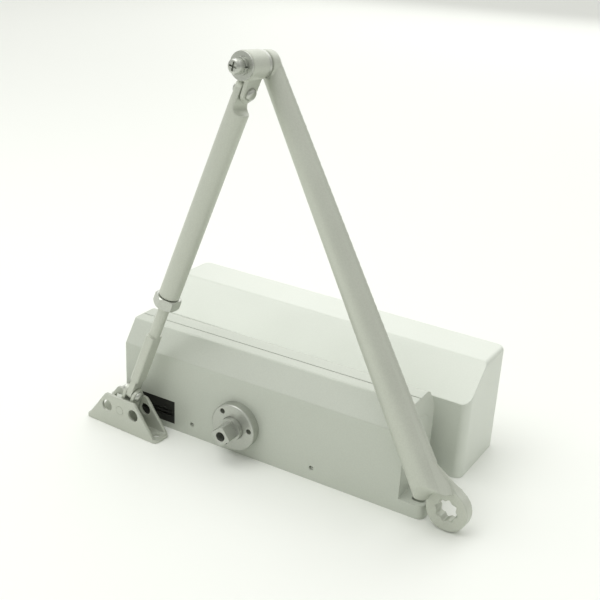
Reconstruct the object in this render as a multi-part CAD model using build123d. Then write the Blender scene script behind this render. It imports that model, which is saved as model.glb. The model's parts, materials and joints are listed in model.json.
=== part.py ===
from build123d import *

import math
import os

# Surface-mounted rack-and-pinion door closer with its loose cover and its regular arm set.
# Frame: origin at the middle of the closer's door-side face, +X along the closer, +Z away from
# the door face, -Y along the pinion towards its front end. All sizes in millimetres.

# Clearances: running fit, tight fit, end play of a ring in its groove, overshoot of a cutter
RUN = 0.05
TIGHT = 0.02
PLAY = 0.1
CUT = 20.0

# Closer body
BODY_LEN = 218.0
BODY_DEPTH = 45.4
FACE_H = 56.4
TOP_H = 72.3
RIDGE_IN = 11.3
RIDGE_ROUND = 1.6
SHOULDER_ROUND = 9.0
GROOVE_Y = -2.5
GROOVE_W = 0.8
GROOVE_DEEP = 0.7
HALF_LEN = BODY_LEN / 2
HALF_DEPTH = BODY_DEPTH / 2

# Fixing lugs
LUG_REACH = 17.2
LUG_T = 9.8
LUG_ROUND = 5.0
SLOT_X = HALF_LEN + 10.8
SLOT_Y = 15.2
SLOT_LEN = 9.0
SLOT_W = 6.0
LUG_HOLE_X = HALF_LEN + 4.8
LUG_HOLE_Y = 8.0
LUG_HOLE_R = 2.5

# Cylinder bore
BORE_Z = 40.0
BORE_R = 18.0
PLUG_LEN = 16.0
SEAL_GROOVE = 2.4
SEAL_SECTION = 2.2
SEAL_IN = 4.0
PLUG_HEX_R = 6.0
PLUG_HEX_DEEP = 8.0
OIL_R = 1.2

# Pinion
PINION_X = -12.5
PINION_Z = 22.65
TEETH = 12
MODULE = 1.5
PRESSURE = math.radians(25)
PITCH_R = TEETH * MODULE / 2
GEAR_ADD = 1.2
GEAR_DED = 1.6
RACK_ADD = 0.8
RACK_DED = 1.6
BACKLASH = 0.25
GEAR_W = 18.0
JOURNAL_R = 7.5
SHOULDER_R = 8.4
SQUARE_AF = 11.0
SQUARE_CORNER_R = 7.35
SQUARE_TURN = 36.0
TIP_REACH = 20.6
SHOULDER_REACH = 10.6
THREAD_R = 3.4
THREAD_LEN = 15.0

# Pinion caps
CAP_R = 17.0
CAP_T = 6.8
SPIGOT_R = 13.0
SPIGOT_LEN = 9.0
CAP_BORE_R = 8.5
BEARING_R = 10.5
BEARING_LEN = 7.0
SEAL_R = 10.0
SEAL_LEN = 2.6
SPANNER_PCD = 26.6
SPANNER_R = 1.9
SPANNER_DEEP = 4.0
SPANNER_TURN = 127.0
CAP_ROUND = 1.2

# Piston, spring and power adjuster
PISTON_R = 17.94
TRAVEL = math.pi * PITCH_R
POCKET_END = 12.5
POCKET_W = 22.0
HEAD_L = 14.0
SPRING_R = 16.4
SPRING_WIRE = 5.0
SPRING_TURNS = 6
SEAT_X = 84.0
SEAT_T = 4.0
SEAT_R = 17.2
SCREW_R = 4.0
SCREW_IN = 1.0
SCREW_TAIL = 8.0
SCREW_HEX_R = 2.2
SCREW_HEX_DEEP = 4.0
CHEEK_GAP = 0.8
RING_IN = 6.0
RING_W = 3.0
RING_DEEP = 2.5
CHECK_BALL_R = 2.2
CHECK_HOLE_R = 2.5
CHECK_PIPE_R = 1.1
CHECK_UP = 4.0
CHECK_DEEP = 9.0

# Regulating valves
VALVE_X = (-50.6, 45.9)
VALVE_Z = 9.35
VALVE_R = 1.6
VALVE_LEN = 17.0
VALVE_SUNK = 1.0
VALVE_SLOT_W = 0.6
VALVE_SLOT_DEEP = 0.8

# Label
LABEL_X0 = -97.0
LABEL_X1 = -65.8
LABEL_Z0 = 4.9
LABEL_Z1 = 22.2
LABEL_T = 0.15

# Cover
COVER_AT = (1.0, 83.8)
COVER_YAW = -1.43
COVER_LEN = 256.8
COVER_H = 77.9
COVER_FRONT = -45.9
COVER_BACK = 13.7
COVER_SLOPE_Z = 55.5
COVER_TOP_FRONT = -20.35
COVER_WALL = 2.4
COVER_ROUND = 6.0
NOTCH_R = 19.0

# Arm set placing
ARM_YAW = -4.5
ARM_LEAN = 3.06
HEAD_X = HALF_LEN + 32.2
HEAD_Y = -HALF_DEPTH - 1.06
HEAD_R = 14.0
HEAD_T = 8.0
STAR_AF = 11.3
STAR_TURN = 8.0

# Main arm
ARM_LEN = 290.0
ARM_ANGLE = 31.3
BAR_BACK = 5.2
BAR_FRONT = 13.2
BAR_FRONT_LOW = 17.8
BAR_W_LOW = 21.2
BAR_W_TOP = 14.8
CRANK_START = 9.0
CRANK_END = 31.0
FLARE_R = 22.0
DOME_DEPTH = 4.2
LIP_T = 1.4
LIP_IN = 0.8
EYE_R = 8.4
EYE_ROUND = 2.0

# Elbow, measured outwards from the front face of the arm's head
WASHER_R = 7.0
WASHER_T = 2.0
BUSH_FLANGE_T = 2.6
KNUCKLE_BACK = 17.9
KNUCKLE_FRONT = 33.0
KNUCKLE_R = 8.9
KNUCKLE_ROUND = 0.7
BUSH_R = 5.4
ELBOW_PIN_R = 4.0
PLAIN_WASHER_T = 1.2
SPRING_WASHER_T = 1.9
SPRING_WASHER_R = 5.4
SPLIT_W = 1.0
SCREW_HEAD_R = 4.6
SCREW_HEAD_T = 5.6
SCREW_HEAD_ROUND = 1.8
CROSS_LEN = 5.6
CROSS_W = 1.2
CROSS_DEEP = 2.2
CROSS_TURN = 12.0
LUG_DROP = 15.4
LUG_EYE_R = 6.2
LUG_SIDE = 2.7
LUG_NARROW = 0.9
LUG_ROOT = 3.0
LUG_SQUARE = 5.0

# Rivet joints
RIVET_R = 2.5
DOME_R = 4.0
DOME_H = 2.6
TAIL_T = 1.4
RIVET_WASHER_R = 4.4
LUG_IN = 1.3
LUG_OUT = 3.8
TONGUE_FACE = 0.2
TONGUE_EYE_R = 6.2
TONGUE_BACK = 1.8
TONGUE_TAPER = 12.0
SHELF = 1.5
RUNOUT_R = 4.5

# Forearm
TUBE_R = 7.1
TUBE_BORE_R = 5.5
TUBE_TOP = 14.5
TUBE_END = 148.6
INSERT_LEN = 22.0
PLUG_TAIL = 40.0
NUT_AF = 15.8
NUT_T = 7.6
NUT_GAP = 0.3
NUT_CHAMFER = 1.0
ROD_R = 3.9
ROD_SHOULDER = 182.0
ROD_THREAD = 70.0
BAR_W = 10.4
BAR_T = 7.0
BAR_LOW = 12.0
BAR_ROUND = 1.5
ROD_EYE_R = 4.6
ROD_EYE_T = 4.4

# Shoe
SHOE_AT = (-96.6, -37.5)
SHOE_YAW = -3.0
SHOE_LEN = 66.0
SHOE_W = 15.0
SHOE_T = 2.2
SHOE_H = 25.0
SHOE_FOOT = 61.0
SHOE_TOP = 27.0
SHOE_HOLE_SPAN = 24.4
SHOE_HOLE_R = 4.3
SHOE_PIVOT_Z = 15.3
SHOE_SCREW_SPAN = 54.0
SHOE_SCREW_R = 2.6
SHOE_SILL = 2.6
SHOE_TOP_ROUND = 3.0
SHOE_BASE_ROUND = 3.5
SHOE_RIVET_R = 3.0
LINK_REACH = 15.0
LINK_R = 5.2
LINK_SIDE = 1.2
LINK_W = 10.0
FORK_GAP = 5.0
FORK_W = 10.0
FORK_EYE_R = 4.8
FORK_FLOOR = 6.2


def rod_x(radius, x0, x1, y=0.0, z=0.0):
    """Round bar along X."""
    return Pos((x0 + x1) / 2, y, z) * Rot(0, 90, 0) * Cylinder(radius, abs(x1 - x0))


def rod_y(radius, y0, y1, x=0.0, z=0.0):
    """Round bar along Y."""
    return Pos(x, (y0 + y1) / 2, z) * Rot(90, 0, 0) * Cylinder(radius, abs(y1 - y0))


def rod_z(radius, z0, z1, x=0.0, y=0.0):
    """Round bar along Z."""
    return Pos(x, y, (z0 + z1) / 2) * Cylinder(radius, abs(z1 - z0))


def slab(x0, x1, y0, y1, z0, z1):
    """Rectangular block between two corners."""
    size = (abs(x1 - x0), abs(y1 - y0), abs(z1 - z0))
    return Pos((x0 + x1) / 2, (y0 + y1) / 2, (z0 + z1) / 2) * Box(*size)


def prism_x(points, x0, x1):
    """Solid with the (y, z) outline, drawn along X."""
    wire = Polyline(*[(x0, y, z) for y, z in points], close=True)
    return extrude(make_face(wire), amount=x1 - x0, dir=(1, 0, 0))


def prism_y(points, y0, y1):
    """Solid with the (x, z) outline, drawn along Y."""
    wire = Polyline(*[(x, y0, z) for x, z in points], close=True)
    return extrude(make_face(wire), amount=y1 - y0, dir=(0, 1, 0))


def prism_z(points, z0, z1):
    """Solid with the (x, y) outline, drawn along Z."""
    wire = Polyline(*[(x, y, z0) for x, y in points], close=True)
    return extrude(make_face(wire), amount=z1 - z0, dir=(0, 0, 1))


def round_long_edges(solid, axis, radius, choose):
    """Fillets the edges along an axis whose middle point passes the test."""
    edges = [e for e in solid.edges().filter_by(axis) if choose(e.center())]
    return fillet(edges, radius)


# ---- where the arm set stands -------------------------------------------------------------

def arm_frame():
    """Location of the arm's head: X across, -Y out of its front face, Z up the arm's plane."""
    yaw, lean = math.radians(ARM_YAW), math.radians(ARM_LEAN)
    out = Vector(math.sin(yaw) * math.cos(lean), -math.cos(yaw) * math.cos(lean), math.sin(lean))
    across = Vector(math.cos(yaw), math.sin(yaw), 0)
    height = HEAD_R * math.cos(lean) + HEAD_T * math.sin(lean)
    plane = Plane((HEAD_X, HEAD_Y, height), x_dir=across, z_dir=across.cross(out * -1))
    return plane, out


ARM_PLANE, ARM_OUT = arm_frame()
ARM_SIN = math.sin(math.radians(ARM_ANGLE))
ARM_COS = math.cos(math.radians(ARM_ANGLE))
ELBOW = ARM_PLANE.from_local_coords(Vector(-ARM_LEN * ARM_SIN, 0, ARM_LEN * ARM_COS))
KNUCKLE_MID = (KNUCKLE_BACK + KNUCKLE_FRONT) / 2

SHOE_TURN = math.radians(SHOE_YAW)
SHOE_OUT = Vector(math.sin(SHOE_TURN), -math.cos(SHOE_TURN), 0)
SHOE_PIVOT = Vector(SHOE_AT[0], SHOE_AT[1], SHOE_PIVOT_Z)


def in_plane(direction, normal):
    """Unit vector of a direction's part square to a normal."""
    return (direction - normal * direction.dot(normal)).normalized()


def forearm_line():
    """Rivet centres at the elbow and at the shoe, and the forearm's upward direction."""
    start = ELBOW + ARM_OUT * KNUCKLE_MID
    up = (start - SHOE_PIVOT).normalized()
    for _ in range(12):
        hang, stand = in_plane(up, ARM_OUT), in_plane(up, SHOE_OUT)
        top = start - hang * LUG_DROP + hang.cross(ARM_OUT) * LUG_SIDE
        low = SHOE_PIVOT + stand * LINK_REACH + stand.cross(SHOE_OUT) * LINK_SIDE
        up = (top - low).normalized()
    return top, low, up


TOP_RIVET, LOW_RIVET, FOREARM_UP = forearm_line()
TOP_PITCH = in_plane(FOREARM_UP, ARM_OUT).cross(ARM_OUT)
LOW_PITCH = in_plane(FOREARM_UP, SHOE_OUT).cross(SHOE_OUT)
KNUCKLE_PLANE = Plane(TOP_RIVET, x_dir=TOP_PITCH, z_dir=in_plane(FOREARM_UP, ARM_OUT))
FOREARM_PLANE = Plane(TOP_RIVET, x_dir=TOP_PITCH, z_dir=FOREARM_UP)
ROD_LOW = (TOP_RIVET - LOW_RIVET).length
ROD_PLANE = Plane(LOW_RIVET, x_dir=LOW_PITCH, z_dir=FOREARM_UP)
LINK_PLANE = Plane(LOW_RIVET, x_dir=LOW_PITCH, z_dir=in_plane(FOREARM_UP, SHOE_OUT))
SHOE_PLANE = Plane((SHOE_AT[0], SHOE_AT[1], 0), x_dir=(math.cos(SHOE_TURN), math.sin(SHOE_TURN), 0),
                   z_dir=(0, 0, 1))


# ---- closer block --------------------------------------------------------------------------

def body_blank():
    """Outer shape: flat-chamfered front, round-shouldered back, groove and end lugs."""
    outline = [(-HALF_DEPTH, 0), (-HALF_DEPTH, FACE_H), (-HALF_DEPTH + RIDGE_IN, TOP_H),
               (HALF_DEPTH - RIDGE_IN, TOP_H), (HALF_DEPTH, FACE_H), (HALF_DEPTH, 0)]
    solid = prism_x(outline, -HALF_LEN, HALF_LEN)
    solid = round_long_edges(solid, Axis.X, RIDGE_ROUND, lambda c: c.Y < 0 and c.Z > 1)
    solid = round_long_edges(solid, Axis.X, SHOULDER_ROUND, lambda c: c.Y > 0 and c.Z > FACE_H - 1)
    reach = HALF_LEN + LUG_REACH
    lugs = slab(-reach, reach, -HALF_DEPTH, HALF_DEPTH, 0, LUG_T)
    lugs = round_long_edges(lugs, Axis.Z, LUG_ROUND, lambda c: True)
    solid = solid + lugs
    groove = slab(-HALF_LEN, HALF_LEN, GROOVE_Y - GROOVE_W / 2, GROOVE_Y + GROOVE_W / 2,
                  TOP_H - GROOVE_DEEP, TOP_H + 1)
    return solid - groove


def slot_z(x, y, length, width, z0, z1):
    """Cutter for a round-ended slot along X, through a plate."""
    run = (length - width) / 2
    return (slab(x - run, x + run, y - width / 2, y + width / 2, z0, z1)
            + rod_z(width / 2, z0, z1, x - run, y) + rod_z(width / 2, z0, z1, x + run, y))


def closer_body():
    """Housing with its cylinder bore, pinion bore, gear room, valve ports and fixing holes."""
    solid = body_blank()
    solid -= rod_x(BORE_R, -HALF_LEN - 1, HALF_LEN + 1, z=BORE_Z)
    solid -= rod_y(SPIGOT_R + RUN, -HALF_DEPTH - 1, HALF_DEPTH + 1, PINION_X, PINION_Z)
    for side in (-1, 1):
        for y in (-SLOT_Y, SLOT_Y):
            solid -= slot_z(side * SLOT_X, y, SLOT_LEN, SLOT_W, -1, LUG_T + 1)
        for y in (-LUG_HOLE_Y, LUG_HOLE_Y):
            solid -= rod_z(LUG_HOLE_R, -1, LUG_T + 1, side * LUG_HOLE_X, y)
    for x in VALVE_X:
        end = -HALF_DEPTH + VALVE_LEN
        solid -= rod_y(VALVE_R + RUN, -HALF_DEPTH - 1, end + 2, x, VALVE_Z)
        solid -= rod_z(OIL_R, VALVE_Z, BORE_Z - BORE_R + 2, x, end)
    return solid


def end_plug(side):
    """Threaded end plug with a seal groove, and a tapped hole for the power screw on the right."""
    inner = side * (HALF_LEN - PLUG_LEN)
    solid = rod_x(BORE_R - RUN, inner, side * HALF_LEN, z=BORE_Z)
    groove_x = inner + side * SEAL_IN
    ring = rod_x(BORE_R + 1, groove_x, groove_x + side * SEAL_GROOVE, z=BORE_Z)
    ring -= rod_x(BORE_R - SEAL_SECTION, groove_x, groove_x + side * SEAL_GROOVE, z=BORE_Z)
    solid -= ring
    if side > 0:
        solid -= rod_x(SCREW_R + RUN, inner - 1, HALF_LEN + 1, z=BORE_Z)
        return solid
    hexagon = extrude(RegularPolygon(PLUG_HEX_R, 6), PLUG_HEX_DEEP, both=True)
    return solid - Pos(-HALF_LEN, 0, BORE_Z) * Rot(0, 90, 0) * hexagon


def end_plug_seals():
    """Square-section seal ring in each end plug's groove."""
    rings = []
    for side in (-1, 1):
        x0 = side * (HALF_LEN - PLUG_LEN + SEAL_IN)
        x1 = x0 + side * (SEAL_GROOVE - PLAY)
        inner = rod_x(BORE_R - SEAL_SECTION + RUN, x0, x1, z=BORE_Z)
        rings.append(rod_x(BORE_R - RUN, x0, x1, z=BORE_Z) - inner)
    return Compound(rings)


def pinion_cap(side):
    """Screwed pinion cap: flange with three spanner holes, spigot with bearing and seal seats."""
    face = side * HALF_DEPTH
    top = face + side * CAP_T
    solid = rod_y(CAP_R, face, top, PINION_X, PINION_Z)
    rim = [e for e in solid.edges().filter_by(GeomType.CIRCLE) if abs(e.center().Y - top) < 0.1]
    solid = fillet(rim, CAP_ROUND)
    solid += rod_y(SPIGOT_R, face, face - side * SPIGOT_LEN, PINION_X, PINION_Z)
    solid -= rod_y(CAP_BORE_R + RUN, face - side * CUT, top + side, PINION_X, PINION_Z)
    seat = face - side * (SPIGOT_LEN - BEARING_LEN)
    solid -= rod_y(BEARING_R + RUN, seat, face - side * CUT, PINION_X, PINION_Z)
    solid -= rod_y(SEAL_R + RUN, seat, seat + side * SEAL_LEN, PINION_X, PINION_Z)
    for k in range(3):
        turn = math.radians(SPANNER_TURN + 120 * k)
        x = PINION_X + SPANNER_PCD / 2 * math.cos(turn)
        z = PINION_Z + SPANNER_PCD / 2 * math.sin(turn)
        solid -= rod_y(SPANNER_R, top - side * SPANNER_DEEP, top + side, x, z)
    return solid


def pinion_bearings():
    """Needle bearing shell in each cap."""
    rings = []
    for side in (-1, 1):
        y0 = side * (HALF_DEPTH - SPIGOT_LEN)
        y1 = y0 + side * (BEARING_LEN - PLAY)
        ring = rod_y(BEARING_R, y0, y1, PINION_X, PINION_Z)
        rings.append(ring - rod_y(JOURNAL_R + RUN, y0, y1, PINION_X, PINION_Z))
    return Compound(rings)


def pinion_seals():
    """Lip seal ring above each bearing."""
    rings = []
    for side in (-1, 1):
        y0 = side * (HALF_DEPTH - SPIGOT_LEN + BEARING_LEN)
        y1 = y0 + side * (SEAL_LEN - PLAY)
        ring = rod_y(SEAL_R, y0, y1, PINION_X, PINION_Z)
        rings.append(ring - rod_y(JOURNAL_R + RUN, y0, y1, PINION_X, PINION_Z))
    return Compound(rings)


def involute_point(base, radius, offset):
    """Point of an involute flank at a radius, turned by an offset angle."""
    roll = math.sqrt(max((radius / base) ** 2 - 1, 0))
    angle = roll - math.atan(roll) + offset
    return radius * math.cos(angle), radius * math.sin(angle)


def gear_outline():
    """Closed outline of the pinion's teeth, one tooth gap pointing straight up."""
    base = PITCH_R * math.cos(PRESSURE)
    roll = math.tan(PRESSURE) - PRESSURE
    half = math.pi / (2 * TEETH) - BACKLASH / (2 * PITCH_R)
    root, tip = PITCH_R - GEAR_DED, PITCH_R + GEAR_ADD
    points = []
    for k in range(TEETH):
        middle = math.pi / 2 + math.pi / TEETH + 2 * math.pi * k / TEETH
        rising = [involute_point(base, r, -half - roll) for r in
                  [base + (tip - base) * i / 5 for i in range(6)]]
        flank = [(root * math.cos(-half - roll), root * math.sin(-half - roll))] + rising
        for x, y in flank + [(x, -y) for x, y in reversed(flank)]:
            points.append((x * math.cos(middle) - y * math.sin(middle),
                           x * math.sin(middle) + y * math.cos(middle)))
    return points


def pinion_shaft():
    """Toothed pinion with two journals and a turned square with a tapped hole at each end."""
    teeth = [(PINION_X + x, PINION_Z + z) for x, z in gear_outline()]
    solid = prism_y(teeth, -GEAR_W / 2, GEAR_W / 2)
    reach = HALF_DEPTH + TIP_REACH
    for side in (-1, 1):
        flat = side * (HALF_DEPTH + SHOULDER_REACH)
        seal_top = side * (HALF_DEPTH - SPIGOT_LEN + BEARING_LEN + SEAL_LEN)
        step = seal_top + side * 2 * PLAY
        solid += rod_y(JOURNAL_R, side * GEAR_W / 2, step, PINION_X, PINION_Z)
        solid += rod_y(SHOULDER_R, step, flat, PINION_X, PINION_Z)
        end = Box(SQUARE_AF, abs(side * reach - flat), SQUARE_AF)
        end = Pos(PINION_X, (side * reach + flat) / 2, PINION_Z) * Rot(0, -SQUARE_TURN, 0) * end
        solid += end & rod_y(SQUARE_CORNER_R, flat, side * reach, PINION_X, PINION_Z)
        mouth = side * reach
        solid -= rod_y(THREAD_R, mouth - side * THREAD_LEN, mouth + side, PINION_X, PINION_Z)
    return solid


def piston():
    """Two-headed piston whose pocket carries the rack above the pinion."""
    pocket0 = PINION_X - TRAVEL - POCKET_END
    pocket1 = PINION_X + POCKET_END
    solid = rod_x(PISTON_R, pocket0 - HEAD_L, pocket1 + HEAD_L, z=BORE_Z)
    pitch_z = PINION_Z + PITCH_R
    root_z = pitch_z + RACK_DED
    pocket = slab(pocket0, pocket1, -HALF_DEPTH, HALF_DEPTH, 0, root_z)
    solid -= pocket
    for side in (-1, 1):
        flank = side * (HALF_DEPTH - SPIGOT_LEN - CHEEK_GAP)
        solid -= slab(pocket0, pocket1, flank, side * HALF_DEPTH, 0, PINION_Z + SPIGOT_R + CHEEK_GAP)
    groove0 = pocket1 + HEAD_L - RING_IN
    ring = rod_x(BORE_R + 1, groove0, groove0 + RING_W, z=BORE_Z)
    solid -= ring - rod_x(PISTON_R - RING_DEEP, groove0, groove0 + RING_W, z=BORE_Z)
    outer = pocket0 - HEAD_L
    solid -= rod_x(CHECK_HOLE_R, outer - 1, outer + CHECK_DEEP, z=BORE_Z + CHECK_UP)
    solid -= rod_x(CHECK_PIPE_R, outer + CHECK_DEEP - 1, pocket0 + 1, z=BORE_Z + CHECK_UP)
    pitch = math.pi * MODULE
    slope = math.tan(PRESSURE)
    count = int((pocket1 - pocket0) / pitch) - 1
    first = PINION_X - pitch * int((PINION_X - pocket0) / pitch - 0.6)
    for k in range(count):
        x = first + pitch * k
        low, high = pitch_z - RACK_ADD, root_z + 0.5
        wide = pitch / 4 - BACKLASH / 2
        at_low, at_high = wide - slope * RACK_ADD, wide + slope * (high - pitch_z)
        tooth = [(x - at_low, low), (x + at_low, low), (x + at_high, high), (x - at_high, high)]
        solid += prism_y(tooth, -POCKET_W / 2, POCKET_W / 2)
    return solid


def piston_seal():
    """Ring in the spring-side head of the piston."""
    x0 = PINION_X + POCKET_END + HEAD_L - RING_IN + PLAY
    x1 = x0 + RING_W - 2 * PLAY
    return rod_x(PISTON_R, x0, x1, z=BORE_Z) - rod_x(PISTON_R - RING_DEEP + RUN, x0, x1, z=BORE_Z)


def piston_check_valve():
    """Check ball in the closing-side head with its pressed retainer ring."""
    x0 = PINION_X - TRAVEL - POCKET_END - HEAD_L
    height = BORE_Z + CHECK_UP
    ball = Pos(x0 + CHECK_DEEP - CHECK_BALL_R - PLAY, 0, height) * Sphere(CHECK_BALL_R)
    ring = rod_x(CHECK_HOLE_R - RUN, x0 + 0.3, x0 + 1.8, z=height)
    return Compound([ball, ring - rod_x(CHECK_PIPE_R, x0, x0 + 2, z=height)])


def main_spring():
    """Compression spring wound as one coil between the piston and its seat."""
    x0 = PINION_X + POCKET_END + HEAD_L
    length = SEAT_X - x0 - SPRING_WIRE - 0.4
    radius = SPRING_R - SPRING_WIRE / 2
    helix = Helix(pitch=length / SPRING_TURNS, height=length, radius=radius)
    wire = Plane(helix @ 0, z_dir=helix % 0) * Circle(SPRING_WIRE / 2)
    coil = sweep(wire, path=helix)
    return Pos(x0 + SPRING_WIRE / 2 + 0.2, 0, BORE_Z) * Rot(0, 90, 0) * coil


def spring_seat():
    """Disc that carries the spring and rides on the power screw."""
    solid = rod_x(SEAT_R, SEAT_X, SEAT_X + SEAT_T, z=BORE_Z)
    return solid - rod_x(SCREW_R + RUN, SEAT_X - 1, SEAT_X + SEAT_T + 1, z=BORE_Z)


def power_screw():
    """Spring power adjusting screw with a hexagon socket in its outer end."""
    end = HALF_LEN - SCREW_IN
    solid = rod_x(SCREW_R, SEAT_X - SCREW_TAIL, end, z=BORE_Z)
    hexagon = extrude(RegularPolygon(SCREW_HEX_R, 6), SCREW_HEX_DEEP, both=True)
    return solid - Pos(end, 0, BORE_Z) * Rot(0, 90, 0) * hexagon


def valve(x):
    """Regulating valve needle with a screwdriver slot, sunk in its port."""
    face, half = -HALF_DEPTH + VALVE_SUNK, VALVE_SLOT_W / 2
    solid = rod_y(VALVE_R, face, face + VALVE_LEN - 3 * VALVE_SUNK, x, VALVE_Z)
    return solid - slab(x - CUT, x + CUT, face - 1, face + VALVE_SLOT_DEEP, VALVE_Z - half, VALVE_Z + half)


def label_plate():
    """Thin data label near the left end of the pinion face."""
    return slab(LABEL_X0, LABEL_X1, -HALF_DEPTH - LABEL_T, -HALF_DEPTH, LABEL_Z0, LABEL_Z1)


# ---- cover ---------------------------------------------------------------------------------

def cover_blank(grow, z0):
    """Solid of the cover's outline, set in by a wall thickness."""
    half = COVER_LEN / 2 - grow
    front, back = COVER_FRONT + grow, COVER_BACK - grow
    top, drop = COVER_H - grow, COVER_SLOPE_Z - grow * 0.45
    lip = COVER_TOP_FRONT + grow * 0.3
    outline = [(front, z0), (front, drop), (lip, top), (back, top), (back, z0)]
    solid = prism_x(outline, -half, half)
    radius = max(COVER_ROUND - grow, 1.0)
    solid = round_long_edges(solid, Axis.Z, radius, lambda c: True)
    ends = [e for e in solid.edges() if abs(e.center().Z - top) < 0.2]
    return fillet(ends, max(3.0 - grow, 0.6))


def cover():
    """Open-backed cover with a pinion notch in each long wall."""
    shell = cover_blank(0.0, 0.0) - cover_blank(COVER_WALL, -1.0)
    notch = rod_y(NOTCH_R, COVER_FRONT - 5, COVER_BACK + 5, PINION_X, PINION_Z)
    notch += slab(PINION_X - NOTCH_R, PINION_X + NOTCH_R, COVER_FRONT - 5, COVER_BACK + 5, -1, PINION_Z)
    shell -= notch
    return Pos(COVER_AT[0], COVER_AT[1], 0) * Rot(0, 0, COVER_YAW) * shell


# ---- main arm and elbow --------------------------------------------------------------------

def out_bar(radius, near, far, x=0.0, z=0.0):
    """Round bar in the arm frame, between two distances out of the head's front face."""
    return rod_y(radius, -near, -far, x, z)


def star_cutter():
    """Eight-point socket: two squares turned by 45 degrees."""
    cut = None
    for turn in (0, 45):
        square = Rot(90, 0, 0) * extrude(Rectangle(STAR_AF, STAR_AF), 20, both=True)
        square = Rot(0, turn + STAR_TURN, 0) * square
        cut = square if cut is None else cut + square
    return cut


def arm_plan():
    """Arm seen from its front: an arc flares it out of the head, then it tapers to the eye."""
    low, top, front = BAR_W_LOW / 2, BAR_W_TOP / 2, -30
    rise = math.sqrt((HEAD_R + FLARE_R) ** 2 - (low + FLARE_R) ** 2)
    share = HEAD_R / (HEAD_R + FLARE_R)
    foot_x, foot_z = (low + FLARE_R) * share, rise * share
    half_turn = math.atan2(rise, low + FLARE_R) / 2
    mid_x, mid_z = low + FLARE_R * (1 - math.cos(half_turn)), rise - FLARE_R * math.sin(half_turn)
    edges = Polyline((-foot_x, front, foot_z), (-foot_x, front, 0), (foot_x, front, 0),
                     (foot_x, front, foot_z)).edges()
    edges += Polyline((low, front, rise), (top, front, ARM_LEN), (-top, front, ARM_LEN),
                      (-low, front, rise)).edges()
    for side in (-1, 1):
        edges += ThreePointArc((side * foot_x, front, foot_z), (side * mid_x, front, mid_z),
                               (side * low, front, rise)).edges()
    return extrude(make_face(edges), amount=-2 * front, dir=(0, 1, 0))


def arm_section(z, half):
    """D-shaped section of the bar at a distance from the head."""
    crest = -BAR_FRONT_LOW + (BAR_FRONT_LOW - BAR_FRONT) * z / ARM_LEN
    side, rear = crest + DOME_DEPTH, HEAD_T / 2
    edge = Polyline((half, side, z), (half, rear, z), (-half, rear, z), (-half, side, z))
    arc = ThreePointArc((-half, side, z), (0, crest, z), (half, side, z))
    return make_face(Wire([*edge.edges(), arc]))


def roll_off():
    """Cutter with the head's axis that rolls the bar's front down to the head's face."""
    crest, wide, far = -BAR_FRONT_LOW, HEAD_R + 15, -40
    curve = Spline((HEAD_R - 1, 0), (HEAD_R + 1.4, crest * 0.5), (HEAD_R + 6, crest * 0.87), (wide, crest))
    rest = Polyline((wide, crest), (wide, far), (0, far), (0, 0), (HEAD_R - 1, 0))
    return revolve(make_face(curve.edges() + rest.edges()), axis=Axis.Y)


def side_solid(points):
    """Solid with the (distance, out) outline, as wide as the head."""
    wire = Polyline(*[(0, -out, along) for along, out in points], close=True)
    return extrude(make_face(wire), amount=HEAD_R, dir=(1, 0, 0), both=True)


def main_arm():
    """Cranked, tapered bar with a half-round front, a thin base lip, a socket head and an eye."""
    back = [(0, -HEAD_T), (CRANK_START, -HEAD_T), (CRANK_END, BAR_BACK), (ARM_LEN, BAR_BACK)]
    lip = [(ARM_LEN, BAR_BACK + LIP_T), (CRANK_END + 3, BAR_BACK + LIP_T), (HEAD_R + 3, 0), (0, 0)]
    base = side_solid(back + lip) & arm_plan()
    dome = loft([arm_section(0, BAR_W_LOW / 2 - LIP_IN), arm_section(ARM_LEN, BAR_W_TOP / 2 - LIP_IN)])
    dome = (dome & side_solid(back + [(ARM_LEN, 2 * BAR_FRONT), (0, 2 * BAR_FRONT)])) - roll_off()
    eye = out_bar(EYE_R, BAR_BACK, BAR_FRONT, z=ARM_LEN)
    rear = [e for e in eye.edges().filter_by(GeomType.CIRCLE) if abs(e.center().Y + BAR_BACK) < 0.1]
    eye = fillet(rear, EYE_ROUND)
    dome -= out_bar(EYE_R + 1, BAR_FRONT, 2 * BAR_FRONT, z=ARM_LEN)
    solid = base + dome + eye - out_bar(ELBOW_PIN_R, -20, 40, z=ARM_LEN)
    solid = Rot(0, -ARM_ANGLE, 0) * solid + rod_y(HEAD_R, 0, HEAD_T)
    return ARM_PLANE.location * (solid - star_cutter())


def at_elbow(solid):
    """Moves a piece drawn about the Y axis to the elbow axis."""
    here = Plane(ELBOW, x_dir=ARM_PLANE.x_dir, z_dir=ARM_PLANE.z_dir)
    return here.location * solid


def elbow_screw():
    """Shouldered elbow screw with a cross recess in its domed head."""
    seat = KNUCKLE_FRONT + PLAIN_WASHER_T + SPRING_WASHER_T + 3 * PLAY
    top = seat + SCREW_HEAD_T
    head = out_bar(SCREW_HEAD_R, seat, top)
    rim = [e for e in head.edges().filter_by(GeomType.CIRCLE) if -e.center().Y > top - 0.1]
    head = fillet(rim, SCREW_HEAD_ROUND)
    solid = head + out_bar(ELBOW_PIN_R - RUN / 2, BAR_BACK, seat)
    for turn in (0, 90):
        blade = slab(-CROSS_LEN / 2, CROSS_LEN / 2, -top - 1, -top + CROSS_DEEP, -CROSS_W / 2, CROSS_W / 2)
        solid -= Rot(0, turn + CROSS_TURN, 0) * blade
    return at_elbow(solid)


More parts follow.
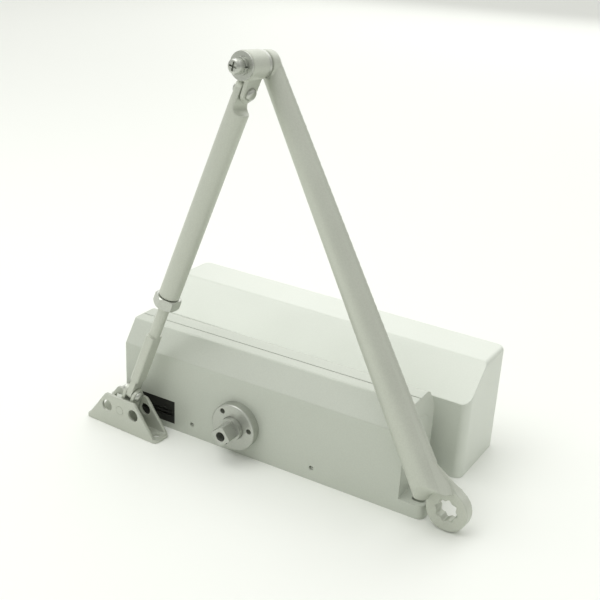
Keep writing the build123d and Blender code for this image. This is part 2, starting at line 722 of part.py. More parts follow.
def elbow_washers():
    """Large plain washer and split spring washer under the screw head."""
    base = KNUCKLE_FRONT + PLAY
    spring_base = base + PLAIN_WASHER_T + PLAY
    hole = out_bar(ELBOW_PIN_R + 2 * PLAY, base - CUT, base + CUT)
    plain = out_bar(KNUCKLE_R - 4 * PLAY, base, base + PLAIN_WASHER_T)
    spring = out_bar(SPRING_WASHER_R, spring_base, spring_base + SPRING_WASHER_T)
    spring -= slab(0, CUT, -base - CUT, -base, -SPLIT_W / 2, SPLIT_W / 2)
    return at_elbow(Compound([plain - hole, spring - hole]))


def elbow_spacer():
    """Washer between the arm's eye and the knuckle."""
    ring = out_bar(WASHER_R, BAR_FRONT + TIGHT, BAR_FRONT + WASHER_T)
    return at_elbow(ring - out_bar(ELBOW_PIN_R + PLAY, 0, BAR_FRONT + CUT))


def elbow_bush():
    """Flanged bush that lines the knuckle."""
    tube = out_bar(BUSH_R, KNUCKLE_BACK, KNUCKLE_FRONT)
    flange = out_bar(KNUCKLE_R - 3 * PLAY, KNUCKLE_BACK - BUSH_FLANGE_T + 2 * PLAY, KNUCKLE_BACK)
    return at_elbow(tube + flange - out_bar(ELBOW_PIN_R + RUN, 0, KNUCKLE_FRONT + CUT))


def knuckle():
    """Elbow knuckle: barrel with a flat, tapered lug for the forearm rivet."""
    barrel = out_bar(KNUCKLE_R, KNUCKLE_BACK, KNUCKLE_FRONT)
    rims = barrel.edges().filter_by(GeomType.CIRCLE)
    barrel = at_elbow(fillet(rims, KNUCKLE_ROUND))
    half = (KNUCKLE_FRONT - KNUCKLE_BACK) / 2 - LUG_NARROW
    root = LUG_DROP - LUG_ROOT
    neck = root - LUG_SQUARE
    outline = Polyline((LUG_IN, -half, root), (LUG_IN, -half, neck), (LUG_IN, -LUG_EYE_R, 0),
                       (LUG_IN, LUG_EYE_R, 0), (LUG_IN, half, neck), (LUG_IN, half, root), close=True)
    lug = extrude(make_face(outline), amount=LUG_OUT - LUG_IN, dir=(1, 0, 0))
    lug += rod_x(LUG_EYE_R, LUG_IN, LUG_OUT)
    lug -= rod_x(RIVET_R + RUN, -CUT, CUT)
    solid = barrel + KNUCKLE_PLANE.location * lug
    return solid - at_elbow(out_bar(BUSH_R + TIGHT, 0, KNUCKLE_FRONT + CUT))


def domed_rivet(plane, tail, far):
    """Rivet with a dome head at one end and a low formed head at the other."""
    solid = rod_x(RIVET_R, tail - TAIL_T, far)
    dome = rod_x(DOME_R, far, far + DOME_H)
    rim = [e for e in dome.edges().filter_by(GeomType.CIRCLE) if e.center().X > far + DOME_H / 2]
    dome = fillet(rim, DOME_H * 0.85)
    return plane.location * (solid + dome + rod_x(DOME_R, tail - TAIL_T, tail))


def tongue_depth():
    """How far the forearm's half-round tongue reaches behind the rivet centre."""
    return -TUBE_R + TONGUE_BACK


def knuckle_rivet():
    """Rivet of the elbow's pitch joint, fixed in the forearm's tongue."""
    return domed_rivet(KNUCKLE_PLANE, tongue_depth(), LUG_OUT + PLAY)


def rivet_spacer():
    """Thin washer between the forearm's tongue and the knuckle's lug."""
    ring = rod_x(RIVET_WASHER_R, TONGUE_FACE + TIGHT, LUG_IN - PLAY) - rod_x(RIVET_R + RUN, -CUT, CUT)
    return KNUCKLE_PLANE.location * ring


# ---- forearm -------------------------------------------------------------------------------

def forearm_tongue():
    """Plug in the tube's top that ends in a half-round tongue with an eye for the rivet."""
    wide = TUBE_R + 0.3
    solid = rod_z(TUBE_BORE_R, -TUBE_TOP - PLUG_TAIL, -TUBE_TOP) + rod_z(TUBE_R, -TUBE_TOP, TUBE_R)
    flat = slab(TONGUE_FACE, 3 * TUBE_R, -2 * TUBE_R, 2 * TUBE_R, -TUBE_TOP + SHELF, 2 * TUBE_R)
    solid -= round_long_edges(flat, Axis.Y, RUNOUT_R, lambda c: c.X < TONGUE_FACE + 1 and c.Z < 0)
    tail = -TUBE_TOP - PLUG_TAIL - 1
    outline = Polyline((0, -wide, tail), (0, -wide, -TONGUE_TAPER), (0, -TONGUE_EYE_R, 0),
                       (0, TONGUE_EYE_R, 0), (0, wide, -TONGUE_TAPER), (0, wide, tail), close=True)
    keep = extrude(make_face(outline), amount=2 * TUBE_R, dir=(1, 0, 0), both=True)
    solid = solid & (keep + rod_x(TONGUE_EYE_R, -2 * TUBE_R, 2 * TUBE_R))
    solid -= slab(-2 * TUBE_R, tongue_depth(), -2 * TUBE_R, 2 * TUBE_R, -5, 2 * TUBE_R)
    return FOREARM_PLANE.location * (solid - rod_x(RIVET_R + TIGHT, -2 * TUBE_R, 2 * TUBE_R))


def forearm_tube():
    """Plain round tube."""
    solid = rod_z(TUBE_R, -TUBE_END, -TUBE_TOP) - rod_z(TUBE_BORE_R, -TUBE_END - 1, 0)
    return FOREARM_PLANE.location * solid


def tube_insert():
    """Threaded insert fixed in the tube's lower end."""
    solid = rod_z(TUBE_BORE_R, -TUBE_END, -TUBE_END + INSERT_LEN) - rod_z(ROD_R + RUN, -TUBE_END - 1, 0)
    return FOREARM_PLANE.location * solid


def jam_nut():
    """Hexagon nut that locks the rod, with turned corners."""
    top = -TUBE_END - NUT_GAP
    hexagon = extrude(RegularPolygon(NUT_AF / 2, 6, major_radius=False, rotation=30), NUT_T)
    corner = NUT_AF / math.sqrt(3)
    turned = Cylinder(corner, NUT_T, align=(Align.CENTER, Align.CENTER, Align.MIN))
    turned = chamfer(turned.edges().filter_by(GeomType.CIRCLE), NUT_CHAMFER)
    solid = Pos(0, 0, top - NUT_T) * (hexagon & turned)
    return FOREARM_PLANE.location * (solid - rod_z(ROD_R + RUN, top - CUT, 0))


def adjusting_rod():
    """Threaded rod that becomes a flat bar with a tongue for the lower rivet."""
    shoulder = ROD_LOW - ROD_SHOULDER
    thread = rod_z(ROD_R, shoulder, shoulder + ROD_THREAD)
    flat = slab(-BAR_T / 2, BAR_T / 2, -BAR_W / 2, BAR_W / 2, BAR_LOW, shoulder)
    flat = round_long_edges(flat, Axis.Z, BAR_ROUND, lambda c: True)
    side = ROD_EYE_T / 2
    tongue = slab(-side, side, -ROD_EYE_R, ROD_EYE_R, 0, BAR_LOW + 0.5) + rod_x(ROD_EYE_R, -side, side)
    tongue -= rod_x(RIVET_R + RUN, -CUT, CUT)
    return ROD_PLANE.location * (thread + flat + tongue)


# ---- shoe ----------------------------------------------------------------------------------

def shoe_knuckle():
    """Small fork that swivels in the shoe and carries the rod's tongue."""
    gap, ear, half = FORK_GAP / 2, FORK_W / 2, FORK_EYE_R
    solid = slab(-ear, ear, -half, half, -LINK_REACH, -FORK_FLOOR)
    for side in (-1, 1):
        solid += slab(side * gap, side * ear, -half, half, -FORK_FLOOR - 1, 0)
        solid += rod_x(half, side * gap, side * ear)
    solid = LINK_PLANE.location * (solid - rod_x(RIVET_R + TIGHT, -CUT, CUT))
    barrel = rod_y(LINK_R, -LINK_W / 2, LINK_W / 2)
    here = Plane(SHOE_PIVOT, x_dir=SHOE_PLANE.x_dir, z_dir=(0, 0, 1)).location
    return solid + here * barrel - here * rod_y(SHOE_RIVET_R + RUN, -CUT, CUT)


def shoe_knuckle_rivet():
    """Rivet through the fork's ears and the rod's tongue."""
    return domed_rivet(LINK_PLANE, -FORK_W / 2, FORK_W / 2)


def shoe_plate(y0, y1):
    """One trapezoid flange of the shoe, with its pivot hole and two open holes."""
    foot, top = SHOE_FOOT / 2, SHOE_TOP / 2
    outline = [(-foot, 0), (-foot, SHOE_SILL), (-top, SHOE_H), (top, SHOE_H), (foot, SHOE_SILL), (foot, 0)]
    plate = prism_y(outline, y0, y1)
    plate = round_long_edges(plate, Axis.Y, SHOE_TOP_ROUND, lambda c: c.Z > SHOE_H - 1)
    for x in (-SHOE_HOLE_SPAN / 2, SHOE_HOLE_SPAN / 2):
        plate -= rod_y(SHOE_HOLE_R, y0 - 1, y1 + 1, x, SHOE_PIVOT_Z)
    return plate


def shoe():
    """Pressed channel: base with two screw holes and two flanges."""
    half = SHOE_W / 2
    base = slab(-SHOE_LEN / 2, SHOE_LEN / 2, -half, half, 0, SHOE_T)
    base = round_long_edges(base, Axis.Z, SHOE_BASE_ROUND, lambda c: True)
    solid = base + shoe_plate(-half, -half + SHOE_T) + shoe_plate(half - SHOE_T, half)
    for x in (-SHOE_SCREW_SPAN / 2, SHOE_SCREW_SPAN / 2):
        solid -= rod_z(SHOE_SCREW_R, -1, SHOE_T + 1, x)
    solid -= rod_y(SHOE_RIVET_R + TIGHT, -CUT, CUT, 0, SHOE_PIVOT_Z)
    return SHOE_PLANE.location * solid


def shoe_pivot_rivet():
    """Flush rivet through both flanges and the shoe knuckle."""
    return SHOE_PLANE.location * rod_y(SHOE_RIVET_R, -SHOE_W / 2, SHOE_W / 2, 0, SHOE_PIVOT_Z)


PARTS = {
    "closer_body": closer_body,
    "end_plug_left": lambda: end_plug(-1),
    "end_plug_right": lambda: end_plug(1),
    "end_plug_seals": end_plug_seals,
    "pinion_cap_front": lambda: pinion_cap(-1),
    "pinion_cap_rear": lambda: pinion_cap(1),
    "pinion_bearings": pinion_bearings,
    "pinion_seals": pinion_seals,
    "pinion_shaft": pinion_shaft,
    "piston": piston,
    "piston_seal": piston_seal,
    "piston_check_valve": piston_check_valve,
    "main_spring": main_spring,
    "spring_seat": spring_seat,
    "power_screw": power_screw,
    "sweep_valve": lambda: valve(VALVE_X[0]),
    "latch_valve": lambda: valve(VALVE_X[1]),
    "label_plate": label_plate,
    "cover": cover,
    "main_arm": main_arm,
    "elbow_screw": elbow_screw,
    "elbow_washers": elbow_washers,
    "elbow_spacer": elbow_spacer,
    "elbow_bush": elbow_bush,
    "knuckle": knuckle,
    "knuckle_rivet": knuckle_rivet,
    "rivet_spacer": rivet_spacer,
    "forearm_tongue": forearm_tongue,
    "forearm_tube": forearm_tube,
    "tube_insert": tube_insert,
    "jam_nut": jam_nut,
    "adjusting_rod": adjusting_rod,
    "shoe_knuckle": shoe_knuckle,
    "shoe_knuckle_rivet": shoe_knuckle_rivet,
    "shoe_pivot_rivet": shoe_pivot_rivet,
    "shoe": shoe,
}


if __name__ == "__main__":
    os.makedirs("parts", exist_ok=True)
    for name, make in PARTS.items():
        export_step(make(), f"parts/{name}.step")
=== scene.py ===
"""Door closer with its loose cover and its regular arm set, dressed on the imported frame."""

from __future__ import annotations

import json
import logging
import math
from dataclasses import dataclass, field
from enum import Enum

import bmesh
import bpy
from mathutils import Matrix, Vector

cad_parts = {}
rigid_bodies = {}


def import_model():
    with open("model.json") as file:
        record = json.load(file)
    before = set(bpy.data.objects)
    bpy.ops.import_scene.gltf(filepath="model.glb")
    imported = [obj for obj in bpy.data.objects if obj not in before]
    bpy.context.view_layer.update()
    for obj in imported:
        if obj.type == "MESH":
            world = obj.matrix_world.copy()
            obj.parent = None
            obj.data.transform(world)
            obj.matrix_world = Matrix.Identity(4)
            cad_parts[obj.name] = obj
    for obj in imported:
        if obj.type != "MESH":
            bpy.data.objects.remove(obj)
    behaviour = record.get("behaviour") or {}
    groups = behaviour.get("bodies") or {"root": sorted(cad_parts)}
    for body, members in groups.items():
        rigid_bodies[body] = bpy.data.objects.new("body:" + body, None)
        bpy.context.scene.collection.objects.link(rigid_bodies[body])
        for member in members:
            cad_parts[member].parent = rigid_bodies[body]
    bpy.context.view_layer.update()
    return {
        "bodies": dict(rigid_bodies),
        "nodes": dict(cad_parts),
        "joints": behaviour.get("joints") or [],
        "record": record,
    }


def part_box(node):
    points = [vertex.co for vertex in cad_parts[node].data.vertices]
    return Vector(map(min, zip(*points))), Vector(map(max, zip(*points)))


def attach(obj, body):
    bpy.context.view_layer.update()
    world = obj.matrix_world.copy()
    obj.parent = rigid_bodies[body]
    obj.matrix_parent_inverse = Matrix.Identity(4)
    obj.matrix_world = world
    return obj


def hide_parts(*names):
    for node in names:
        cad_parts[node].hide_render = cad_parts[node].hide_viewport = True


LOG = logging.getLogger("door_closer")
MM = 0.001
BROAD_MM = 38.0
BROAD_DRIFT = 0.12
SPECKLE_FROM = (0.36, 0.64)
BROAD_FROM = (0.3, 0.7)
ROUGH_SPREAD = (-0.05, 0.07)
RING_TURNS_PER_SCALE = 20
PRINT_T_MM = 0.04
PRINT_SHARE = 0.86
HELIX_STEPS = 36
AIM = (0.0, 0.0, 0.08)
BUMP_STRENGTH = 0.6
BEVEL_SAMPLES = 4
WELD_M = 1e-6
SHARP_DEG = 40.0
SKIN_SHARP_DEG = 60.0


class Role(Enum):
    """How a softened piece is made, which decides its paint."""

    CAST = "cast"
    PRESSED = "pressed"


def linear(code: str) -> tuple[float, float, float, float]:
    """Turns an sRGB hex colour into a linear one.

    Args:
        code: Six hex digits.

    Returns:
        Linear red, green, blue and an alpha of one.
    """
    parts = [int(code[k:k + 2], 16) / 255 for k in (0, 2, 4)]
    red, green, blue = (c / 12.92 if c <= 0.04045 else ((c + 0.055) / 1.055) ** 2.4 for c in parts)
    return red, green, blue, 1.0


def add_node(tree: bpy.types.NodeTree, kind: str, settings: dict | None = None,
             values: dict | None = None, links: dict | None = None) -> bpy.types.Node:
    """Adds a node with its settings, input values and incoming links.

    Args:
        tree: The tree that gets the node.
        kind: The node's type name.
        settings: Attribute names and values.
        values: Input names or numbers and their default values.
        links: Input names or numbers and the output sockets that feed them.

    Returns:
        The new node.
    """
    node = tree.nodes.new(kind)
    for name, value in (settings or {}).items():
        setattr(node, name, value)
    for name, value in (values or {}).items():
        node.inputs[name].default_value = value
    for name, socket in (links or {}).items():
        tree.links.new(socket, node.inputs[name])
    return node


@dataclass(frozen=True)
class Finish:
    """A surface finish: colour, sheen of the metal or paint, and the relief of how it was made.

    Sizes are real millimetres. The fine grain is the orange peel of paint or the bite of
    a machined face. The broad noise is the slow drift of tone over a hand-sized area. The rounded
    edge is the width of the bright line that a worn or painted corner shows.
    """

    name: str
    light: str
    dark: str
    metallic: float
    roughness: float
    grain_mm: float
    grain_mix: float
    relief_mm: float
    edge_mm: float = 0.5
    ring_mm: float = 0.0
    centre: tuple[float, float, float] = (0.0, 0.0, 0.0)

    def build(self) -> bpy.types.Material:
        """Makes the node material.

        Returns:
            The material, ready to assign.
        """
        material = bpy.data.materials.new(self.name)
        material.use_nodes = True
        tree = material.node_tree
        tree.nodes.clear()
        place = add_node(tree, "ShaderNodeTexCoord").outputs["Object"]
        fine = add_node(tree, "ShaderNodeTexNoise", values={"Scale": 1 / (self.grain_mm * MM), "Detail": 3.0,
                        "Roughness": 0.6}, links={"Vector": place}).outputs["Fac"]
        broad = add_node(tree, "ShaderNodeTexNoise", values={"Scale": 1 / (BROAD_MM * MM), "Detail": 4.0},
                         links={"Vector": place}).outputs["Fac"]
        speckle = add_node(tree, "ShaderNodeMapRange", values={
                           "From Min": SPECKLE_FROM[0], "From Max": SPECKLE_FROM[1], "To Min": 0.5 - self.grain_mix, "To Max": 0.5 + self.grain_mix},
                           links={"Value": fine}).outputs["Result"]
        wide = add_node(tree, "ShaderNodeMapRange", values={"From Min": BROAD_FROM[0], "From Max": BROAD_FROM[1],
                        "To Min": -BROAD_DRIFT, "To Max": BROAD_DRIFT}, links={"Value": broad}).outputs["Result"]
        share = add_node(tree, "ShaderNodeMath", {"operation": "ADD", "use_clamp": True},
                         links={0: speckle, 1: wide}).outputs["Value"]
        colour = add_node(tree, "ShaderNodeMix", {"data_type": "RGBA"},
                          {6: linear(self.dark), 7: linear(self.light)}, {0: share}).outputs[2]
        height = fine
        if self.ring_mm:
            centred = add_node(tree, "ShaderNodeMapping", values={"Location": self.centre},
                               links={"Vector": place}).outputs["Vector"]
            rings = add_node(tree, "ShaderNodeTexWave", {"wave_type": "RINGS", "rings_direction": "Y"},
                             {"Scale": 1 / (self.ring_mm * MM) / RING_TURNS_PER_SCALE, "Distortion": 0.4,
                              "Detail": 2.0}, {"Vector": centred}).outputs["Fac"]
            height = add_node(tree, "ShaderNodeMath", {"operation": "MULTIPLY_ADD"}, {1: 0.4},
                              {0: fine, 2: rings}).outputs["Value"]
        rough = add_node(tree, "ShaderNodeMapRange", values={"From Min": BROAD_FROM[0], "From Max": BROAD_FROM[1],
                         "To Min": self.roughness + ROUGH_SPREAD[0], "To Max": self.roughness + ROUGH_SPREAD[1]},
                         links={"Value": broad}).outputs["Result"]
        soft = add_node(tree, "ShaderNodeBevel", {"samples": BEVEL_SAMPLES},
                        {"Radius": self.edge_mm * MM}).outputs["Normal"]
        bump = add_node(tree, "ShaderNodeBump", values={"Strength": BUMP_STRENGTH, "Distance": self.relief_mm * MM},
                        links={"Height": height, "Normal": soft}).outputs["Normal"]
        shader = add_node(tree, "ShaderNodeBsdfPrincipled", values={"Metallic": self.metallic},
                          links={"Base Color": colour, "Roughness": rough, "Normal": bump}).outputs["BSDF"]
        add_node(tree, "ShaderNodeOutputMaterial", links={"Surface": shader})
        return material


class Finishes:
    """Every finish of the closer, made once."""

    def __init__(self, pinion: Vector) -> None:
        """Builds the materials.

        Args:
            pinion: A point on the pinion's axis, for the rings of turned faces.
        """
        self.body = Finish("silver paint on cast aluminium, sprayed", "C9CEC3", "BFC4B9", 0.2, 0.42, 0.9, 0.2,
                           0.03, 0.7).build()
        self.cover = Finish("silver paint on moulded ABS, sprayed", "DDE2D8", "D5DAD0", 0.1, 0.36, 0.8, 0.15,
                            0.012, 0.8).build()
        self.arm = Finish("silver paint on forged steel, sprayed", "CACEC2", "BEC2B6", 0.3, 0.40, 0.9, 0.22,
                          0.035, 0.6).build()
        self.shoe = Finish("silver paint on pressed steel, sprayed", "C6CABF", "B9BDB1", 0.35, 0.36, 0.8, 0.2,
                           0.02, 0.5).build()
        self.zinc = Finish("zinc-plated steel, barrel finished", "C9CCC4", "B4B7AF", 0.85, 0.30, 0.6, 0.25,
                           0.01, 0.3).build()
        self.turned = Finish("bright steel, turned", "C4C7BF", "AEB1A9", 0.75, 0.33, 0.7, 0.2, 0.012, 0.35,
                             ring_mm=0.8, centre=tuple(-c for c in pinion)).build()
        self.iron = Finish("cast iron, machined", "7A7A76", "62625F", 0.7, 0.45, 0.8, 0.3, 0.02, 0.4).build()
        self.spring = Finish("spring steel, oil tempered", "4A4B4D", "37383A", 0.8, 0.38, 0.8, 0.3, 0.01, 0.2).build()
        self.rubber = Finish("nitrile rubber, moulded", "1B1B1A", "131312", 0.0, 0.6, 0.5, 0.3, 0.01, 0.2).build()
        self.label = Finish("polyester film, printed black", "1F201C", "181915", 0.0, 0.42, 0.6, 0.2, 0.004,
                            0.05).build()
        self.print = Finish("polyester film, printed pale", "A9ACA2", "989B91", 0.0, 0.5, 0.5, 0.2, 0.002,
                            0.05).build()


def dress(obj: bpy.types.Object, material: bpy.types.Material) -> None:
    """Puts one material on every slot of an object.

    Args:
        obj: The piece or CAD node.
        material: Its finish.
    """
    if not obj.material_slots:
        obj.data.materials.append(material)
    for slot in obj.material_slots:
        slot.material = material


def new_object(name: str, mesh: bpy.types.Mesh) -> bpy.types.Object:
    """Links a mesh as an object at the origin.

    Args:
        name: The piece's name.
        mesh: Its mesh, already in place.

    Returns:
        The object.
    """
    obj = bpy.data.objects.new(name, mesh)
    bpy.context.scene.collection.objects.link(obj)
    return obj


def settle(obj: bpy.types.Object, angle_deg: float = SHARP_DEG) -> None:
    """Applies an object's modifiers, and shades it smooth between sharp edges.

    Args:
        obj: The piece.
        angle_deg: Edges sharper than this stay sharp.
    """
    graph = bpy.context.evaluated_depsgraph_get()
    mesh = bpy.data.meshes.new_from_object(obj.evaluated_get(graph), depsgraph=graph)
    obj.modifiers.clear()
    obj.data = mesh
    for face in mesh.polygons:
        face.use_smooth = True
    mesh.set_sharp_from_angle(angle=math.radians(angle_deg))


def merged_copy(sources: list[bpy.types.Object], name: str) -> bpy.types.Object:
    """Copies CAD nodes into one mesh with its loose corners joined.

    Args:
        sources: The CAD nodes' objects.
        name: The copy's name.

    Returns:
        The new object at the origin.
    """
    work = bmesh.new()
    for source in sources:
        work.from_mesh(source.data)
    bmesh.ops.remove_doubles(work, verts=work.verts, dist=WELD_M)
    mesh = bpy.data.meshes.new(name)
    work.to_mesh(mesh)
    work.free()
    return new_object(name, mesh)


@dataclass
class Softened:
    """A forged, cast or pressed piece whose edges and joins flow into each other."""

    name: str
    nodes: tuple[str, ...]
    body: str
    voxel_mm: float
    passes: int
    role: Role = Role.CAST
    slot: str = "painted_arms"
    shrink: float = 0.5

    def make(self, frame: dict, material: bpy.types.Material) -> bpy.types.Object:
        """Builds the piece over its CAD nodes.

        Args:
            frame: The loaded frame.
            material: The finish it wears.

        Returns:
            The finished piece, riding on its body.
        """
        piece = merged_copy([frame["nodes"][node] for node in self.nodes], self.name)
        remesh = piece.modifiers.new("even skin", "REMESH")
        remesh.mode = "VOXEL"
        remesh.voxel_size = self.voxel_mm * MM
        smooth = piece.modifiers.new("flowing edges", "SMOOTH")
        smooth.factor = self.shrink
        smooth.iterations = self.passes
        settle(piece, SKIN_SHARP_DEG)
        dress(piece, material)
        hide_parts(*self.nodes)
        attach(piece, self.body)
        LOG.info("%s: %d faces", piece.name, len(piece.data.polygons))
        return piece


@dataclass
class SweptWire:
    """A wire or thread ridge that follows a helix, made by a Geometry Nodes tree."""

    name: str
    wire_mm: float
    radius_mm: float
    length_mm: float
    turns: float
    start: Vector
    direction: Vector
    sides: int = 10

    def tree(self, material: bpy.types.Material) -> bpy.types.NodeTree:
        """Builds the node tree.

        Args:
            material: The finish set on the wire.

        Returns:
            The tree, with named inputs for its sizes.
        """
        tree = bpy.data.node_groups.new(self.name, "GeometryNodeTree")
        face = tree.interface
        face.new_socket("Geometry", in_out="INPUT", socket_type="NodeSocketGeometry")
        for label in ("Wire radius", "Coil radius", "Length", "Turns"):
            face.new_socket(label, in_out="INPUT", socket_type="NodeSocketFloat")
        face.new_socket("Geometry", in_out="OUTPUT", socket_type="NodeSocketGeometry")
        given = add_node(tree, "NodeGroupInput").outputs
        path = add_node(tree, "GeometryNodeCurveSpiral", values={"Resolution": HELIX_STEPS},
                        links={"Rotations": given["Turns"], "Start Radius": given["Coil radius"],
                               "End Radius": given["Coil radius"], "Height": given["Length"]}).outputs["Curve"]
        ring = add_node(tree, "GeometryNodeCurvePrimitiveCircle", values={"Resolution": self.sides},
                        links={"Radius": given["Wire radius"]}).outputs["Curve"]
        tube = add_node(tree, "GeometryNodeCurveToMesh", values={"Fill Caps": True},
                        links={"Curve": path, "Profile Curve": ring}).outputs["Mesh"]
        real = add_node(tree, "GeometryNodeRealizeInstances", links={"Geometry": tube}).outputs["Geometry"]
        dressed = add_node(tree, "GeometryNodeSetMaterial", values={"Material": material},
                           links={"Geometry": real}).outputs["Geometry"]
        add_node(tree, "NodeGroupOutput", links={"Geometry": dressed})
        return tree

    def make(self, material: bpy.types.Material) -> bpy.types.Object:
        """Evaluates the tree into a plain mesh in its place.

        Args:
            material: The finish set on the wire.

        Returns:
            The wire piece.
        """
        piece = new_object(self.name, bpy.data.meshes.new(self.name))
        maker = piece.modifiers.new("helix", "NODES")
        maker.node_group = self.tree(material)
        sizes = {"Wire radius": self.wire_mm, "Coil radius": self.radius_mm, "Length": self.length_mm}
        for item in maker.node_group.interface.items_tree:
            if item.in_out == "INPUT" and item.name in sizes:
                maker[item.identifier] = sizes[item.name] * MM
            elif item.in_out == "INPUT" and item.name == "Turns":
                maker[item.identifier] = self.turns
        settle(piece)
        turn = Vector((0, 0, 1)).rotation_difference(self.direction.normalized()).to_matrix().to_4x4()
        piece.data.transform(Matrix.Translation(self.start) @ turn)
        work = bmesh.new()
        work.from_mesh(piece.data)
        bmesh.ops.recalc_face_normals(work, faces=work.faces)
        work.to_mesh(piece.data)
        work.free()
        return piece


@dataclass
class CloserBlock:
    """The closer itself: housing, caps, pinion, piston train and label."""

    spring_wire_mm: float = 2.5
    spring_turns: float = 6.0
    label_bars: tuple[tuple[float, float], ...] = ((0.34, 0.40), (0.52, 0.56))

    def build(self, frame: dict, finishes: Finishes) -> None:
        """Dresses the CAD nodes and adds the coil and the label's print.

        Args:
            frame: The loaded frame.
            finishes: The closer's finishes.
        """
        wear = {
            "closer_body": finishes.body, "pinion_cap_front": finishes.turned, "pinion_cap_rear": finishes.turned,
            "pinion_shaft": finishes.turned, "end_plug_left": finishes.body, "end_plug_right": finishes.body,
            "power_screw": finishes.zinc, "spring_seat": finishes.zinc, "sweep_valve": finishes.zinc,
            "latch_valve": finishes.zinc, "pinion_bearings": finishes.zinc, "piston": finishes.iron,
            "piston_check_valve": finishes.zinc, "end_plug_seals": finishes.rubber,
            "pinion_seals": finishes.rubber, "piston_seal": finishes.rubber, "label_plate": finishes.label,
        }
        for node, material in wear.items():
            dress(frame["nodes"][node], material)
        self.coil(finishes)
        self.label_print(finishes)

    def coil(self, finishes: Finishes) -> None:
        """Winds the main spring between the piston and its seat."""
        low, high = (Vector(c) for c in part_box("main_spring"))
        wire = self.spring_wire_mm
        radius = (high.y - low.y) / 2 / MM - wire
        start = Vector((low.x + wire * MM, (low.y + high.y) / 2, (low.z + high.z) / 2))
        length = (high.x - low.x) / MM - 2 * wire
        spring = SweptWire("main_spring_coil", wire, radius, length, self.spring_turns, start, Vector((1, 0, 0)),
                           16).make(finishes.spring)
        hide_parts("main_spring")
        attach(spring, "closer")

    def label_print(self, finishes: Finishes) -> None:
        """Adds the label's plain pale bars, a hair proud of the film."""
        low, high = (Vector(c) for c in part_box("label_plate"))
        work = bmesh.new()
        for base, top in self.label_bars:
            size = (high.x - low.x) * PRINT_SHARE, PRINT_T_MM * MM, (high.z - low.z) * (top - base)
            middle = ((low.x + high.x) / 2, low.y + PRINT_T_MM / 2 * MM, low.z + (high.z - low.z) * (base + top) / 2)
            place = Matrix.Translation(middle) @ Matrix.Diagonal((*size, 1))
            bmesh.ops.create_cube(work, size=1, matrix=place)
        mesh = bpy.data.meshes.new("label_bars")
        work.to_mesh(mesh)
        work.free()
        bars = new_object("label_bars", mesh)
        dress(bars, finishes.print)
        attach(bars, "closer")


@dataclass
class Cover:
    """The loose full cover."""

    def build(self, frame: dict, finishes: Finishes) -> None:
        """Dresses the cover shell.

        Args:
            frame: The loaded frame.
            finishes: The closer's finishes.
        """
        dress(frame["nodes"]["cover"], finishes.cover)


@dataclass
class ArmSet:
    """Main arm, elbow, forearm, adjusting rod and shoe."""

    soft: tuple[Softened, ...] = (
        Softened("main_arm_forging", ("main_arm",), "main_arm", 0.5, 4),
        Softened("knuckle_forging", ("knuckle",), "knuckle", 0.28, 6),
        Softened("forearm_skin", ("forearm_tongue", "forearm_tube"), "forearm", 0.4, 3),
        Softened("shoe_pressing", ("shoe",), "shoe", 0.36, 3, Role.PRESSED),
        Softened("shoe_knuckle_forging", ("shoe_knuckle",), "shoe_knuckle", 0.25, 3),
    )
    plated: tuple[str, ...] = ("jam_nut", "elbow_screw", "elbow_washers", "elbow_spacer", "knuckle_rivet",
                               "rivet_spacer", "shoe_knuckle_rivet", "tube_insert", "elbow_bush")

    def build(self, frame: dict, finishes: Finishes) -> None:
        """Builds the softened pieces and dresses the rest.

        Args:
            frame: The loaded frame.
            finishes: The closer's finishes.
        """
        for item in self.soft:
            item.make(frame, finishes.shoe if item.role is Role.PRESSED else finishes.arm)
        for node in self.plated:
            dress(frame["nodes"][node], finishes.zinc)
        dress(frame["nodes"]["adjusting_rod"], finishes.arm)
        dress(frame["nodes"]["shoe_pivot_rivet"], finishes.shoe)


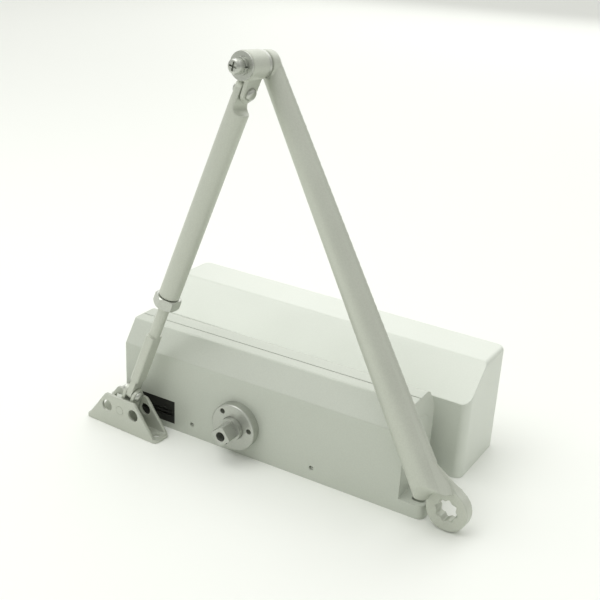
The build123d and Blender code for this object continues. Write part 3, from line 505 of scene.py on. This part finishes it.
@dataclass
class Studio:
    """White floor, soft light and the camera."""

    camera_at: tuple[float, float, float] = (0.30088, -0.50366, 0.35661)
    right: tuple[float, float, float] = (0.86015, 0.50753, 0.05051)
    down: tuple[float, float, float] = (0.23695, -0.30995, -0.92075)
    ahead: tuple[float, float, float] = (-0.45166, 0.80395, -0.38686)
    lens_mm: float = 58.14
    sensor_mm: float = 36.0
    floor_m: float = 12.0
    room_slope: tuple[float, float, float] = (-0.10, 0.12, 0.40)
    room_level: float = 0.50
    room_least: float = 0.2
    lights: tuple[tuple[str, tuple[float, float, float], float, float], ...] = field(default=(
        ("front softbox", (-0.45, -0.4, 1.35), 1.2, 8.0),
        ("back softbox", (-0.4, 2.3, 1.5), 2.6, 18.0),
    ))

    def build(self) -> None:
        """Sets the stage."""
        self.floor()
        self.world()
        for name, place, size, power in self.lights:
            self.light(name, Vector(place), size, power)
        self.camera()

    def floor(self) -> None:
        """Lays a large pale floor just under the pieces."""
        work = bmesh.new()
        bmesh.ops.create_grid(work, x_segments=1, y_segments=1, size=self.floor_m / 2)
        mesh = bpy.data.meshes.new("floor")
        work.to_mesh(mesh)
        work.free()
        floor = new_object("floor", mesh)
        material = bpy.data.materials.new("matt white paper, rolled")
        material.use_nodes = True
        shader = material.node_tree.nodes["Principled BSDF"]
        shader.inputs["Base Color"].default_value = linear("F4F6F1")
        shader.inputs["Roughness"].default_value = 0.6
        shader.inputs["Specular IOR Level"].default_value = 0.2
        dress(floor, material)

    def world(self) -> None:
        """Fills the room with white light that is stronger overhead and weaker in front."""
        world = bpy.data.worlds.new("white room")
        world.use_nodes = True
        tree = world.node_tree
        tree.nodes.clear()
        way = add_node(tree, "ShaderNodeTexCoord").outputs["Generated"]
        lift = add_node(tree, "ShaderNodeVectorMath", {"operation": "DOT_PRODUCT"}, {1: self.room_slope},
                        {0: way}).outputs["Value"]
        strength = add_node(tree, "ShaderNodeMath", {"operation": "ADD"}, {1: self.room_level},
                            {0: lift}).outputs["Value"]
        safe = add_node(tree, "ShaderNodeMath", {"operation": "MAXIMUM"}, {1: self.room_least},
                        {0: strength}).outputs["Value"]
        sky = add_node(tree, "ShaderNodeBackground", values={"Color": linear("FFFFFC")},
                       links={"Strength": safe}).outputs["Background"]
        add_node(tree, "ShaderNodeOutputWorld", links={"Surface": sky})
        bpy.context.scene.world = world

    def light(self, name: str, place: Vector, size: float, power: float) -> None:
        """Hangs one square softbox aimed at the object."""
        lamp = bpy.data.lights.new(name, "AREA")
        lamp.size = size
        lamp.energy = power
        holder = bpy.data.objects.new(name, lamp)
        holder.location = place
        holder.rotation_euler = (Vector(AIM) - place).to_track_quat("-Z", "Y").to_euler()
        bpy.context.scene.collection.objects.link(holder)

    def camera(self) -> None:
        """Places the camera by its three directions."""
        data = bpy.data.cameras.new("camera")
        data.lens = self.lens_mm
        data.sensor_width = self.sensor_mm
        data.clip_start = 0.01
        data.clip_end = 50.0
        holder = bpy.data.objects.new("camera", data)
        axes = Matrix((self.right, [-c for c in self.down], [-c for c in self.ahead])).transposed().to_4x4()
        holder.matrix_world = Matrix.Translation(self.camera_at) @ axes
        bpy.context.scene.collection.objects.link(holder)
        bpy.context.scene.camera = holder


def main() -> None:
    """Loads the frame, builds every sub-assembly and the studio."""
    logging.basicConfig(level=logging.INFO)
    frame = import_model()
    bpy.context.scene.view_settings.view_transform = "Standard"
    low, high = (Vector(c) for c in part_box("pinion_shaft"))
    finishes = Finishes((low + high) / 2)
    for assembly in (CloserBlock(), Cover(), ArmSet()):
        assembly.build(frame, finishes)
        LOG.info("%s done", type(assembly).__name__)
    Studio().build()


if __name__ == "__main__":
    main()
